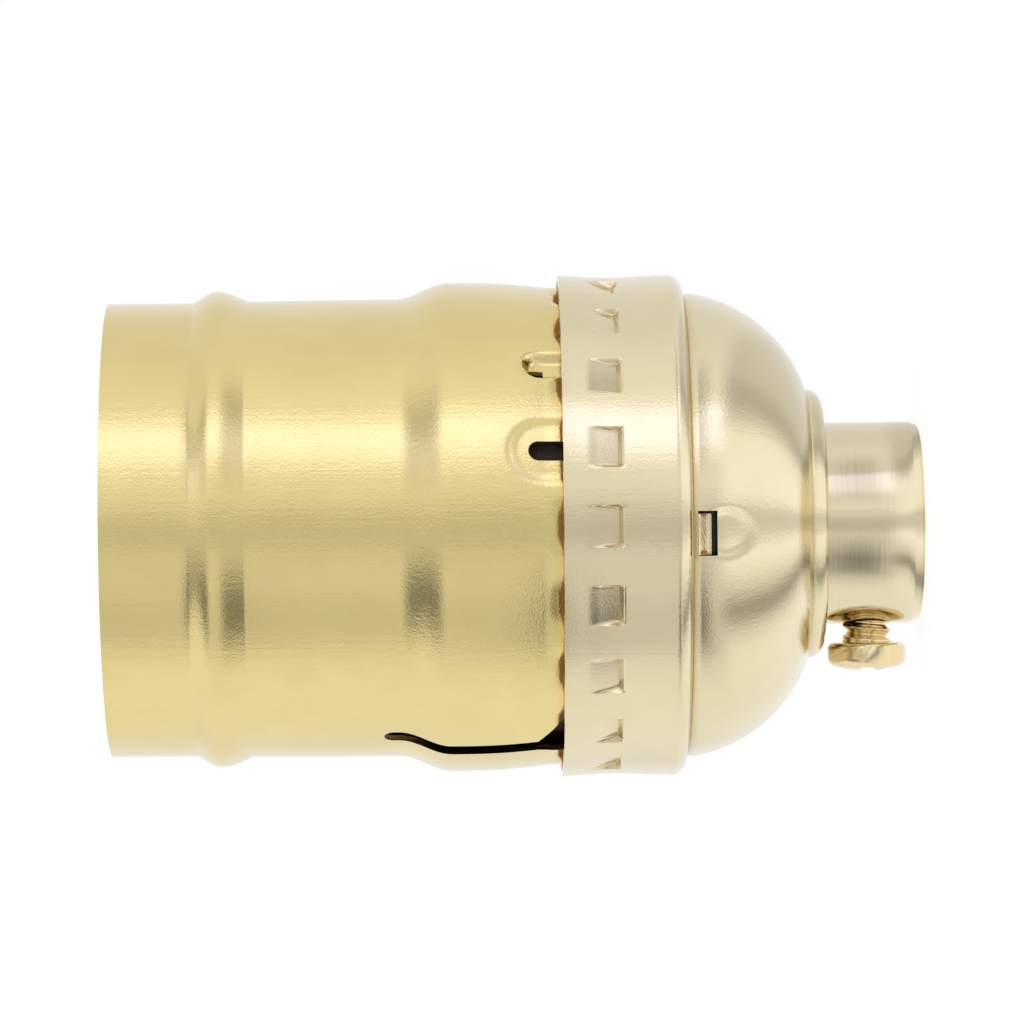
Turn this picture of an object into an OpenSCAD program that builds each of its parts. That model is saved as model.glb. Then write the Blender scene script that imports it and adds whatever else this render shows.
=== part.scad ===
// Keyless lamp socket for a medium screw base, standing on its hub with the mouth up.
// The origin is the centre of the hub's end face, and +Z runs along the axis to the mouth.
// Sizes are in millimetres. Angles run about +Z from +X, and the set screw points along -X.

/* [Sheet] */
// Thickness of the brass sheet of the shell and the cap
sheet = 0.4; // [0.3:0.05:0.45]

/* [Hub] */
// Length of the hub below the cap
hub_len = 6.9; // [6.4:0.1:9]
// Radius of the pipe thread's crests in the hub
hub_bore_r = 4.55; // [4.3:0.05:4.8]
// Wall of the hub, from the thread's crests to its outside
hub_wall = 2.65; // [2.4:0.05:3]
// Rounding of the hub's outer edge
hub_edge = 0.45; // [0.2:0.05:0.8]
// Shoulder of the hub under the cap, from the spigot to its outside
spigot_step = 1; // [0.8:0.05:1.3]
// How far the clinched end stands into the cap
clinch_h = 0.7; // [0.5:0.1:1.2]
// How far the clinched end spreads over the cap
clinch_out = 0.9; // [0.6:0.05:1]

/* [Set screw] */
// Outer radius of the set screw's thread
set_screw_r = 1.75; // [1.4:0.05:1.9]
// Radius of the set screw's head
set_head_r = 2.8; // [2.3:0.1:3.1]
// Height of the set screw's head
set_head_h = 2; // [1.6:0.1:2.4]
// Width of the slot in the set screw's head
set_slot_w = 0.8; // [0.6:0.05:1]
// Room between the set screw's head and the cap
set_head_gap = 0.35; // [0.2:0.05:0.6]
// Thread that shows between the hub and the head
set_screw_proud = 1.35; // [1.2:0.05:2]
// How far the tip stays outside the bore
set_screw_back = 0.65; // [0.4:0.05:0.9]

/* [Cap] */
// How far the band draws in at its middle
cap_waist = 0.2; // [0.1:0.02:0.24]
// How far the collar stands out round the hub
collar_out = 2.4; // [2:0.1:2.8]
// Step from the collar out to the foot of the dome
collar_step = 0.2; // [0.1:0.05:0.4]
// Rounding of the collar's lower edge
collar_edge = 1.1; // [0.8:0.1:1.1]
// Radius of the dome's arc
dome_arc_r = 10.3; // [10:0.1:10.5]
// Step from the widest part of the dome out to the band
band_step = 1.26; // [1.1:0.02:1.5]
// Height of the dome's lowest point above the hub
dome_rise = 0.6; // [0.4:0.1:0.8]
// Height of the step from the dome to the band, above the dome's lowest point
dome_h = 9.3; // [9:0.1:9.6]
// Rounding of the band's lower corner
band_corner = 1.2; // [1:0.1:1.4]
// Height of the band
band_h = 8.8; // [8:0.1:10]
// Radial gap between the cap's band and the shell's skirt
skirt_gap = 0.45; // [0.3:0.05:0.6]
// Height of the shell's hidden rim above the cap's step
rim_gap = 0.2; // [0.1:0.05:0.4]

/* [Lances] */
// Number of lances in the cap, and of flutes in the shell
lance_count = 20; // [16:1:20]
// Width of a lance
lance_w = 2.5; // [2:0.1:2.6]
// Height of a lance
lance_h = 2.2; // [1.8:0.1:2.6]
// Depth of a lance at its cut edge
lance_depth = 0.45; // [0.3:0.05:0.5]
// Distance from the cap's rim down to the top of the lances
lance_drop = 1.9; // [1.6:0.1:3]

/* [Cap tabs] */
// Number of lanced tabs in the dome
tab_count = 2; // [1:1:2]
// Width of a tab
tab_w = 3.1; // [2.4:0.1:3.6]
// Height of a tab's window
tab_h = 1.55; // [1.3:0.05:1.8]
// Distance from the step down to a tab's window
tab_drop = 0.2; // [0.1:0.05:0.3]
// Radius of the ball that presses the dent beside a tab
dimple_a = 4.5; // [4:0.1:6]
// Depth of the dent beside a tab
dimple_depth = 0.3; // [0.2:0.05:0.4]
// Angle of the dent below the dome's widest part
dimple_tilt = 24; // [22:1:26]
// How far the tab's free edge is pushed in
tab_push = 0.75; // [0.5:0.05:0.9]
// Angle of the first tab
tab_angle = 268; // [258:1:278]

/* [Shell] */
// Length of the shell, from its hidden rim to the mouth
shell_len = 40.2; // [39.6:0.1:42]
// Distance from the mouth to the bead's near edge
bead_drop = 5.7; // [5:0.1:6.5]
// Length of the bead
bead_len = 4.7; // [4:0.1:5.2]
// How far the bead stands out
bead_h = 0.8; // [0.5:0.05:1]
// Length over which the neck draws in to the bead
bead_run = 4.7; // [4:0.1:5.5]
// How much wider the neck is than the mouth
neck_out = 0.25; // [0.15:0.01:0.4]
// How much wider the bulge is than the mouth
bulge_out = 1.37; // [1.2:0.01:1.6]
// Distance from the cap's rim to the widest point of the bulge
bulge_up = 6.8; // [6:0.1:8]
// Straight length at the widest point of the bulge
bulge_flat = 1; // [0.5:0.1:1.5]
// Length of the shoulder
shoulder_len = 3.8; // [3:0.1:4.4]
// How much narrower the skirt in the cap is than the bulge
skirt_in = 0.36; // [0.2:0.01:0.5]
// How far the straight skirt shows above the cap's rim
skirt_show = 1.2; // [0.8:0.1:1.6]

/* [Flutes and slots] */
// Radius of a flute's round section
flute_a = 2.4; // [2.2:0.1:2.8]
// How far the flutes' round ends show above the cap's rim
flute_show = 0.9; // [0.6:0.1:1.2]
// Width of the slot in the wide dent
slot_w = 1.5; // [1.2:0.1:1.8]
// How far the short slots show above the cap's rim
slot_show = 2.5; // [1.8:0.1:3.2]
// Radius of the wide dent's section
dent_a = 5.5; // [5:0.1:6]
// Depth of the wide dent
dent_depth = 0.75; // [0.6:0.05:0.85]
// Distance from the slot's top down to the centre of the wide dent's round end
dent_back = 1.7; // [1.4:0.1:2]
// Radius of the pressed finger's section
finger_a = 1.4; // [1.2:0.1:1.6]
// Depth of the pressed finger
finger_depth = 0.85; // [0.7:0.05:1]
// Width of the cut along the finger's edge
finger_cut = 0.7; // [0.5:0.05:0.9]
// Angle from the wide dent to the finger
finger_turn = 23; // [22:1:25]
// Angle from the finger's middle to the cut
finger_cut_turn = 2; // [1:0.5:3]
// Width of the long slit
slit_w = 1.4; // [1.1:0.1:1.7]
// How far the long slit shows above the cap's rim
slit_show = 12.6; // [11:0.1:14]
// Width of the slit's notch on the side nearer the slots
notch_wide = 4.5; // [4:0.1:4.7]
// Width of the slit's notch on its other side
notch_narrow = 1.6; // [1.3:0.1:2]
// Distance from the cap's rim down to the top of the notch's square part
notch_hide = 0.8; // [0.4:0.1:1.2]
// Height over which the notch narrows into the slit
notch_taper = 2.6; // [2.2:0.1:3]
// Angle from the long slit to the wide dent
slit_turn = 82; // [80:1:84]

/* [Interior base] */
// Gap between the moulded base and the insulating sleeve
base_gap = 0.35; // [0.25:0.05:0.6]
// Height of the base
base_h = 16.5; // [15.5:0.1:16.8]
// Height of the base's flange
flange_h = 1.7; // [1.4:0.1:2]
// Distance from the base's underside to its flange
flange_up = 1.6; // [1.4:0.1:2]
// Distance from the half ring's inner edge out to the flat of a terminal pocket
pocket_out = 0.2; // [0.1:0.05:0.3]
// Width of a terminal pocket
pocket_w = 11; // [9.5:0.1:12]
// Thickness of the base's roof over the pockets
roof_h = 4; // [3.6:0.1:4.4]
// Thickness of the fibre disc under the base
disc_h = 0.8; // [0.5:0.1:1]
// How far the fibre disc's edge stays inside the base's
disc_inset = 1; // [0.6:0.1:1.4]
// Radius of the pegs that hold the fibre disc
peg_r = 1.2; // [0.9:0.1:1.4]
// Distance of the pegs from the axis
peg_y = 5.6; // [5:0.1:6]
// How far the pegs stand out of the disc
peg_proud = 0.5; // [0.3:0.1:0.6]

/* [Terminals] */
// Thickness of the terminal straps
strap = 0.8; // [0.6:0.05:0.9]
// Width of the terminal straps
strap_w = 6; // [5:0.1:6.6]
// Distance from the roof of the pockets down to the binding screws
bind_drop = 5; // [4.6:0.1:5.4]
// Outer radius of the binding screws' thread
bind_r = 1.7; // [1.5:0.05:1.8]
// Length of the binding screws' thread
bind_len = 5.5; // [4.5:0.1:6]
// Radius of the binding screws' heads
bind_head_r = 3.4; // [3:0.1:3.6]
// Height of the binding screws' heads
bind_head_h = 2; // [1.6:0.1:2.2]
// Width of the slot in the binding screws' heads
bind_slot_w = 1; // [0.8:0.05:1.2]
// Distance from a binding screw's axis down to the end of its strap
leg_drop = 3.5; // [3:0.1:3.8]
// Width of the neutral strap's half ring
ring_w = 3.2; // [2.8:0.1:3.4]

/* [Rivets] */
// Radius of the rivets' shanks
rivet_r = 1.15; // [1:0.05:1.25]
// Radius of the rivets' heads
rivet_head_r = 1.8; // [1.6:0.05:1.9]
// Height of the rivets' heads
rivet_head_h = 0.6; // [0.4:0.1:0.8]
// Distance from the screw shell's wall in to its rivets
rivet_in = 2.5; // [2.3:0.05:2.7]
// Height of a rivet's seat above the pockets' roof line
rivet_sink = 1; // [0.8:0.1:1.4]
// Strap beyond the head of the centre rivet
strap_lip = 0.4; // [0.2:0.1:0.6]
// Distance of the centre rivet from the axis
centre_rivet_x = 4.6; // [4.4:0.1:4.8]

/* [Screw shell] */
// Inner radius at the thread's roots
thread_major_r = 13.3; // [13.25:0.01:13.35]
// Depth of the rolled thread
thread_depth = 0.85; // [0.75:0.01:0.9]
// Pitch of the rolled thread
thread_pitch = 3.629; // [3.4:0.001:3.8]
// Thickness of the screw shell's sheet
screw_sheet = 0.4; // [0.3:0.05:0.45]
// Distance from the mouth to the screw shell's edge
well_inset = 2.55; // [2:0.05:3.5]
// Plain length at each end of the screw shell
thread_run = 1.6; // [1.2:0.1:2]
// Floor of the screw shell inside its rivets
floor_in = 2.15; // [2:0.05:2.4]
// Gap between the screw shell and the insulating sleeve
well_gap = 1.05; // [0.9:0.05:1.3]

/* [Centre contact] */
// Thickness of the contact leaf
leaf = 0.5; // [0.4:0.05:0.6]
// Width of the contact leaf
leaf_w = 4.4; // [4:0.1:4.8]
// Height of the leaf's crown above the base
crown_h = 2.6; // [2:0.1:3]
// Distance from the axis to the leaf's bend
bend_x = 2.4; // [2.2:0.1:2.6]
// Length of the leaf beyond the axis
leaf_reach = 4.6; // [4:0.1:5]
// Distance of the crown's middle from the axis
crown_x = 1.2; // [0.8:0.1:1.6]
// Radius of the crown
crown_r = 1.6; // [1.4:0.1:2]
// Drop of the leaf's tip below the crown
tip_drop = 1.1; // [0.8:0.1:1.4]
// Length of the leaf's rise beyond the bend
rise_x = 2.2; // [2:0.1:2.4]
// Length of the leaf's foot beyond its rivet
foot_lip = 2.3; // [2:0.1:2.5]

/* [Sleeve] */
// Gap between the insulating sleeve and the shell's mouth
sleeve_gap = 0.14; // [0.1:0.02:0.3]
// Wall of the insulating sleeve
sleeve_wall = 0.75; // [0.6:0.05:0.8]
// Distance from the sleeve's upper end to the mouth
sleeve_drop = 1.2; // [0.8:0.1:2]

/* [Clearances] */
// Radial clearance of a screw in its hole
screw_clear = 0.05; // [0.02:0.01:0.08]
// Clearance of a fixed piece on its seat
seat_clear = 0.05; // [0.03:0.01:0.1]
// Clearance of the flutes around the lances
lance_clear = 0.15; // [0.12:0.01:0.2]
// Room between the contact's foot and the head of its rivet
foot_clear = 0.4; // [0.35:0.05:0.5]
// Radial room round a binding screw in the moulded base
bind_clear = 0.2; // [0.15:0.05:0.3]
// Radial room round a rivet's head in the moulded base
head_clear = 0.6; // [0.4:0.1:0.7]
// Room round a cap's tab in the base's flange, and at the end of the hot strap
tab_clear = 0.3; // [0.2:0.05:0.5]

/* [Hidden] */
$fn = 96;
cut = 0.01;
over = 1;

// Radii, outwards from the lamp's thread to the cap
thread_minor_r = thread_major_r - thread_depth;
sleeve_r = thread_major_r + screw_sheet + well_gap + sleeve_wall;
mouth_r = sleeve_r + sleeve_gap + sheet;
neck_r = mouth_r + neck_out;
bulge_r = mouth_r + bulge_out;
skirt_r = bulge_r - skirt_in;
cap_r = skirt_r + skirt_gap + sheet;
dome_r = cap_r - band_step;
base_r = sleeve_r - sleeve_wall - base_gap;

// Hub and set screw
hub_r = hub_bore_r + hub_wall;
spigot_r = hub_r - spigot_step;
collar_r = hub_r + collar_out;
set_screw_z = hub_len - set_head_gap - set_head_r;
set_tip = hub_bore_r + set_screw_back;
set_seat = hub_r + set_screw_proud;

// Cap
dome_c = [dome_r - dome_arc_r, hub_len + dome_rise + dome_arc_r];
band_z = hub_len + dome_rise + dome_h;
cap_rim_z = band_z + band_h;
lance_top_z = cap_rim_z - lance_drop;
tab_top_z = band_z - tab_drop;

// Shell
rim_z = band_z + sheet + rim_gap;
mouth_z = rim_z + shell_len;
bead_z = mouth_z - bead_drop;
bulge_z = cap_rim_z + bulge_up;
skirt_top_z = cap_rim_z + skirt_show;
slot_top_z = cap_rim_z + slot_show;
pitch_angle = 360 / lance_count;
tongue_r = cap_r - cap_waist - lance_depth - sheet;
flute_c = tongue_r - lance_clear + sqrt(flute_a * flute_a - lance_w * lance_w / 4);
flute_half = sqrt(flute_a * flute_a - pow(flute_c - skirt_r, 2));
flute_end_z = cap_rim_z + flute_show - flute_half;
dent_angle = 270 + pitch_angle;
finger_angle = dent_angle + finger_turn;
slit_angle = dent_angle - slit_turn;

// Interior
flange_z = band_z + seat_clear - flange_h;
base_z = flange_z - flange_up;
base_top = base_z + base_h;
flange_r = dome_c[0] + sqrt(pow(dome_arc_r - sheet, 2) - pow(dome_c[1] - flange_z, 2)) - seat_clear;
pocket_top = base_top - roof_h;
bind_screw_z = pocket_top - bind_drop;
well_top = pocket_top - strap;
sleeve_z = flange_z + flange_h + seat_clear;
sleeve_top = mouth_z - sleeve_drop;
head_bore_r = rivet_head_r + head_clear;
hinge_z = base_top + seat_clear;
rivet_y = thread_minor_r - rivet_in;
floor_hole_r = rivet_y - floor_in;
ring_in = rivet_y - ring_w / 2;
ring_out = rivet_y + ring_w / 2;
pocket_x = ring_in + pocket_out;
hot_reach = centre_rivet_x + rivet_head_r + strap_lip;
screw_shell_top = mouth_z - well_inset;

function arc(c, r, a0, a1, n) =
    [for (i = [0:n]) let (a = a0 + (a1 - a0) * i / n) [c[0] + r * cos(a), c[1] + r * sin(a)]];

// A smooth S from [r0, z0] to [r1, z1]
function ease(r0, z0, r1, z1, n) =
    [for (i = [0:n]) let (t = i / n) [r0 + (r1 - r0) * (1 - cos(180 * t)) / 2, z0 + (z1 - z0) * t]];

function flip(points) = [for (i = [len(points) - 1:-1:0]) points[i]];

function inwards(points, d) = [for (p = points) [p[0] - d, p[1]]];

// Outline of the cap's skin, from the hub's hole to the rim, moved in by d
function cap_skin(d) = concat(
    [[spigot_r, hub_len + d]],
    arc([collar_r - collar_edge, hub_len + collar_edge], collar_edge - d, -90, 0, 5),
    arc(dome_c, dome_arc_r - d,
        -acos((collar_r + collar_step - 1.5 * d - dome_c[0]) / (dome_arc_r - d)),
        -asin((dome_c[1] - band_z + 0.3 - 1.7 * d) / (dome_arc_r - d)), 12),
    arc([cap_r - band_corner, band_z + band_corner], band_corner - d, -90, -12, 5),
    [for (i = [0:6]) let (t = i / 6)
        [cap_r - d - cap_waist * sin(180 * t), band_z + band_corner + (band_h - band_corner) * t]]);

// Outline of the shell's outer skin, from the hidden rim to the mouth
function shell_skin() = let (
        shoulder_z = bulge_z + bulge_flat,
        peak_z = bead_z - 0.43 * bead_len,
        low_z = bead_z - bead_len,
        low_r = mouth_r + 0.07) concat(
    [[skirt_r, rim_z], [skirt_r, skirt_top_z]],
    [for (i = [1:5]) let (t = i / 5)
        [bulge_r - skirt_in * pow(1 - t, 2), skirt_top_z + (bulge_z - skirt_top_z) * t]],
    ease(bulge_r, shoulder_z, neck_r, shoulder_z + shoulder_len, 10),
    [[neck_r, low_z - bead_run]],
    ease(low_r, low_z, mouth_r + bead_h, peak_z, 6),
    [for (p = ease(mouth_r + bead_h, peak_z, mouth_r, bead_z, 6)) if (p[1] > peak_z) p],
    [[mouth_r, mouth_z]]);

// Upright capsule that presses a round-ended dent into a wall: a is its radius, c its distance
// from the axis, z1 the height of its round end
module dent(a, c, z1) {
    translate([c, 0, 0]) rotate_extrude() difference() {
        union() {
            translate([0, rim_z - over]) square([a, z1 - rim_z + over]);
            translate([0, z1]) circle(r = a);
        }
        translate([-2 * a, -over]) square([2 * a, z1 + 2 * a]);
    }
}

// All the dents of the shell; grow is the sheet's thickness for the inner skin
module shell_dents(grow) {
    for (i = [0:lance_count - 1]) {
        if (i != 1) {
            rotate(270 + i * pitch_angle) dent(flute_a + grow, flute_c, flute_end_z);
        }
    }
    rotate(dent_angle) dent(dent_a + grow, skirt_r - dent_depth + dent_a, slot_top_z - dent_back);
    rotate(finger_angle)
        dent(finger_a + grow, skirt_r - finger_depth + finger_a, slot_top_z - finger_a);
}

// Slot through the wall, open at the hidden rim and round at its top, which lies at top
module slot(w, top) {
    depth = dent_depth + finger_depth + 2 * sheet + over;
    translate([skirt_r - depth, -w / 2, rim_z - over]) cube([2 * depth, w, top - rim_z + over - w / 2]);
    translate([skirt_r - depth, 0, top - w / 2]) rotate([0, 90, 0]) cylinder(r = w / 2, h = 2 * depth);
}

// Notch where the long slit opens at the hidden rim
module notch() {
    depth = dent_depth + finger_depth + 2 * sheet + over;
    low = rim_z - over;
    high = cap_rim_z - notch_hide;
    translate([skirt_r - depth, 0, 0]) rotate([90, 0, 90]) linear_extrude(2 * depth)
        polygon([[-notch_narrow, low], [notch_wide, low], [notch_wide, high],
                 [slit_w / 2, high + notch_taper], [-slit_w / 2, high + notch_taper],
                 [-notch_narrow, high]]);
}

module shell() {
    outer = shell_skin();
    color([0.83, 0.63, 0.26]) difference() {
        rotate_extrude() polygon(concat([[0, rim_z]], outer, [[0, mouth_z]]));
        shell_dents(0);
        difference() {
            rotate_extrude() polygon(concat(
                [[0, rim_z - cut]], [[skirt_r - sheet, rim_z - cut]],
                inwards([for (p = outer) if (p[1] > rim_z && p[1] < mouth_z) p], sheet),
                [[mouth_r - sheet, mouth_z + cut], [0, mouth_z + cut]]));
            shell_dents(sheet);
        }
        rotate(dent_angle) slot(slot_w, slot_top_z);
        rotate(finger_angle - finger_cut_turn) slot(finger_cut, slot_top_z - sheet);
        rotate(slit_angle) slot(slit_w, cap_rim_z + slit_show);
        rotate(slit_angle) notch();
    }
}

module insulating_sleeve() {
    sleeve_h = sleeve_top - sleeve_z;
    color([0.16, 0.11, 0.09]) translate([0, 0, sleeve_z]) difference() {
        cylinder(r = sleeve_r, h = sleeve_h);
        translate([0, 0, -over]) cylinder(r = sleeve_r - sleeve_wall, h = sleeve_h + 2 * over);
    }
}

// Wedge of one lance: deepest at its lower, cut edge, and moved in by d
module lance(d) {
    r = cap_r - cap_waist - d;
    translate([0, lance_w / 2, 0]) rotate([90, 0, 0]) linear_extrude(lance_w)
        polygon([[r + over, lance_top_z - lance_h], [r - lance_depth, lance_top_z - lance_h],
                 [r, lance_top_z], [r + over, lance_top_z + sheet]]);
}

// Window cut in the dome for one tab
module tab_window() {
    depth = tab_push + 2 * sheet + over;
    translate([dome_r - depth, -tab_w / 2, tab_top_z - tab_h]) cube([2 * depth, tab_w, tab_h]);
}

// The tab itself, folded in from the window's upper edge
module tab() {
    r = dome_c[0] + sqrt(pow(dome_arc_r, 2) - pow(dome_c[1] - tab_top_z, 2));
    high = tab_top_z + tab_drop / 2;
    low = tab_top_z - 0.75 * tab_h;
    translate([0, tab_w / 2, 0]) rotate([90, 0, 0]) linear_extrude(tab_w)
        polygon([[r, high], [r - tab_push, low], [r - tab_push - sheet, low], [r - sheet, high]]);
}

// Ball that presses the shallow dent beside a tab, grown by the sheet for the inner skin
module dimple(grow) {
    out = dome_arc_r + dimple_a - dimple_depth;
    translate([dome_c[0] + out * cos(dimple_tilt), 0, dome_c[1] - out * sin(dimple_tilt)])
        sphere(r = dimple_a + grow);
}

module cap() {
    color([0.87, 0.72, 0.44]) {
        difference() {
            rotate_extrude() polygon(concat([[0, hub_len]], cap_skin(0), [[0, cap_rim_z]]));
            difference() {
                rotate_extrude() polygon(concat(
                    [[0, hub_len - over], [spigot_r, hub_len - over]], cap_skin(sheet),
                    [[cap_r - sheet, cap_rim_z + over], [0, cap_rim_z + over]]));
                for (i = [0:tab_count - 1]) rotate(tab_angle + 180 * i) dimple(sheet);
            }
            for (i = [0:tab_count - 1]) rotate(tab_angle + 180 * i) dimple(0);
            for (i = [0:lance_count - 1]) rotate(270 + i * pitch_angle) lance(0);
            for (i = [0:tab_count - 1]) rotate(tab_angle + 180 * i) tab_window();
        }
        intersection() {
            for (i = [0:lance_count - 1]) rotate(270 + i * pitch_angle) lance_tongue();
            cylinder(r = cap_r, h = cap_rim_z);
        }
        for (i = [0:tab_count - 1]) rotate(tab_angle + 180 * i) tab();
    }
}

// Pressed-in tongue behind one lance
module lance_tongue() {
    r = cap_r - cap_waist;
    z0 = lance_top_z - lance_h;
    translate([0, lance_w / 2, 0]) rotate([90, 0, 0]) linear_extrude(lance_w)
        polygon([[r - lance_depth, z0], [r, lance_top_z],
                 [r - sheet, lance_top_z + sheet / 2], [r - lance_depth - sheet, z0]]);
}

module cap_hub() {
    top = hub_len + sheet;
    color([0.86, 0.78, 0.55]) difference() {
        rotate_extrude() polygon(concat(
            [[hub_bore_r, hub_edge], [hub_bore_r + hub_edge, 0]],
            arc([hub_r - hub_edge, hub_edge], hub_edge, -90, 0, 5),
            [[hub_r, hub_len - seat_clear], [spigot_r - seat_clear, hub_len - seat_clear],
             [spigot_r - seat_clear, top + seat_clear], [spigot_r + clinch_out, top + seat_clear],
             [spigot_r + clinch_out, top + 0.5 * clinch_h], [spigot_r - sheet / 2, top + clinch_h],
             [hub_bore_r, top + clinch_h]]));
        translate([0, 0, set_screw_z]) rotate([0, -90, 0])
            cylinder(r = set_screw_r + screw_clear, h = hub_r + over);
    }
}

// Round head with a slot, seated on z = 0
module round_head(r, h, slot_wide) {
    ball = (r * r + h * h) / (2 * h) * 1.04;
    difference() {
        intersection() {
            cylinder(r = r, h = h);
            translate([0, 0, h - ball]) sphere(r = ball);
        }
        translate([-r - over, -slot_wide / 2, 0.5 * h]) cube([2 * (r + over), slot_wide, h]);
    }
}

module set_screw() {
    color([0.85, 0.6, 0.3]) translate([0, 0, set_screw_z]) rotate([0, -90, 0]) {
        translate([0, 0, set_tip]) cylinder(r = set_screw_r, h = set_seat - set_tip + cut);
        translate([0, 0, set_seat]) round_head(set_head_r, set_head_h, set_slot_w);
    }
}

// Plan of the neutral strap's half ring, grown by c
module half_ring(c) {
    difference() {
        circle(r = ring_out + c);
        circle(r = ring_in - c);
        translate([rivet_head_r + c, -2 * ring_out]) square([2 * ring_out, 4 * ring_out]);
    }
}

// Fibre disc's plan: the base's round with the two terminal pockets cut away
module base_plan(r) {
    difference() {
        circle(r = r);
        for (s = [-1, 1]) translate([s * (pocket_x + base_r), 0])
            square([2 * base_r, pocket_w], center = true);
    }
}

module interior_base() {
    slot_y = strap_w / 2 + seat_clear;
    color([0.07, 0.07, 0.08]) difference() {
        union() {
            translate([0, 0, base_z]) linear_extrude(pocket_top - base_z) base_plan(base_r);
            translate([0, 0, pocket_top]) cylinder(r = base_r, h = roof_h);
            translate([0, 0, flange_z]) linear_extrude(flange_h) base_plan(flange_r);
            for (s = [-1, 1]) translate([0, s * peg_y, base_z - disc_h - peg_proud])
                cylinder(r = peg_r, h = disc_h + 2 * peg_proud);
        }
        // holes for the binding screws
        for (a = [0, 180]) rotate(a) translate([pocket_x - bind_len - over, 0, bind_screw_z])
            rotate([0, 90, 0]) cylinder(r = bind_r + bind_clear, h = bind_len + 2 * over);
        // hot strap's channel, and the bore under its rivet
        translate([-hot_reach - tab_clear, -slot_y, well_top - seat_clear])
            cube([hot_reach + tab_clear + pocket_x + over, 2 * slot_y, strap + 2 * seat_clear]);
        translate([-centre_rivet_x, 0, base_z - over])
            cylinder(r = head_bore_r, h = well_top - base_z + over);
        translate([-centre_rivet_x, 0, base_z]) cylinder(r = rivet_r + screw_clear, h = base_h + over);
        // neutral strap's slot through the roof, and the recess for its half ring
        translate([-pocket_x - strap - 2 * seat_clear, -slot_y, pocket_top - over])
            cube([strap + 2 * seat_clear, 2 * slot_y, roof_h + 2 * over]);
        translate([0, 0, base_top - strap - seat_clear]) linear_extrude(strap + over)
            half_ring(seat_clear);
        // bores for the screw shell's rivets
        for (s = [-1, 1]) translate([0, s * rivet_y, 0]) {
            translate([0, 0, base_z]) cylinder(r = rivet_r + screw_clear, h = base_h + over);
            translate([0, 0, base_z - over])
                cylinder(r = head_bore_r, h = pocket_top - rivet_sink - base_z + over);
        }
        // notches that the cap's tabs stand in
        for (i = [0:tab_count - 1]) rotate(tab_angle + 180 * i)
            translate([base_r, -tab_w / 2 - tab_clear, flange_z - over])
                cube([flange_r - base_r + over, tab_w + 2 * tab_clear, flange_h + 2 * over]);
    }
}

module bottom_insulator() {
    color([0.3, 0.2, 0.15]) translate([0, 0, base_z - disc_h - seat_clear]) linear_extrude(disc_h)
        difference() {
            base_plan(base_r - disc_inset);
            for (s = [-1, 1]) translate([0, s * peg_y]) circle(r = peg_r + seat_clear);
        }
}

// Height and radius rings of the screw shell; the thread fades in above the floor
// and opens to its root at the mouth
thread_z0 = base_top + thread_run;
thread_z1 = screw_shell_top - thread_run;
rings_per_pitch = 6;
ring_sides = 30;
thread_rings = floor((thread_z1 - thread_z0) / thread_pitch * rings_per_pitch);

function ramp(t) = t < 0 ? 0 : t > 1 ? 1 : t;

function thread_radius(z, a) = let (
        low = ramp((z - thread_z0) / (thread_pitch / 2)),
        high = ramp((z - thread_z1 + thread_pitch / 2) / (thread_pitch / 2)),
        wave = 0.5 - 0.5 * cos(360 * z / thread_pitch - a))
    thread_minor_r + (thread_major_r - thread_minor_r) * (high + (1 - high) * low * wave);

// One ring of points: skin is 0 for the inner skin and the sheet's thickness for the outer
function thread_ring(z, skin) = [for (j = [0:ring_sides - 1]) let (a = 360 * j / ring_sides,
    r = thread_radius(z, a) + skin) [r * cos(a), r * sin(a), z]];

function plain_ring(r, z) = [for (j = [0:ring_sides - 1]) let (a = 360 * j / ring_sides)
    [r * cos(a), r * sin(a), z]];

module screw_shell() {
    t = screw_sheet;
    levels = [for (i = [0:thread_rings]) thread_z0 + (thread_z1 - thread_z0) * i / thread_rings];
    rings = concat(
        [plain_ring(floor_hole_r, base_top + t), plain_ring(thread_minor_r - t, base_top + t),
         plain_ring(thread_minor_r, base_top + 2 * t)],
        [for (z = levels) thread_ring(z, 0)],
        [plain_ring(thread_major_r, screw_shell_top), plain_ring(thread_major_r + t, screw_shell_top)],
        [for (z = flip(levels)) thread_ring(z, t)],
        [plain_ring(thread_minor_r + t, base_top + t), plain_ring(thread_minor_r, base_top),
         plain_ring(floor_hole_r, base_top)]);
    count = len(rings);
    points = [for (ring = rings) each ring];
    faces = [for (i = [0:count - 1], j = [0:ring_sides - 1], half = [0, 1]) let (
            k = (i + 1) % count,
            m = (j + 1) % ring_sides,
            a = i * ring_sides + j, b = i * ring_sides + m,
            c = k * ring_sides + m, d = k * ring_sides + j)
        half == 0 ? [a, b, c] : [a, c, d]];
    color([0.85, 0.7, 0.4]) difference() {
        polyhedron(points, faces);
        for (s = [-1, 1]) translate([0, s * rivet_y, base_top - over])
            cylinder(r = rivet_r + screw_clear, h = t + 2 * over);
    }
}

module centre_contact() {
    inner = concat(
        [[-centre_rivet_x - foot_lip, 0], [-bend_x, 0], [-bend_x + rise_x, 0.72 * (crown_h - leaf)]],
        arc([crown_x, crown_h - leaf - crown_r], crown_r, 115, 65, 5),
        [[leaf_reach, crown_h - leaf - tip_drop]]);
    outline = concat(inner, flip([for (p = inner) [p[0], p[1] + leaf]]));
    color([0.85, 0.68, 0.35]) difference() {
        translate([0, leaf_w / 2, hinge_z]) rotate([90, 0, 0]) linear_extrude(leaf_w) polygon(outline);
        translate([-centre_rivet_x, 0, hinge_z - over])
            cylinder(r = rivet_r + 3 * screw_clear, h = leaf + 2 * over);
    }
}

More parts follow.
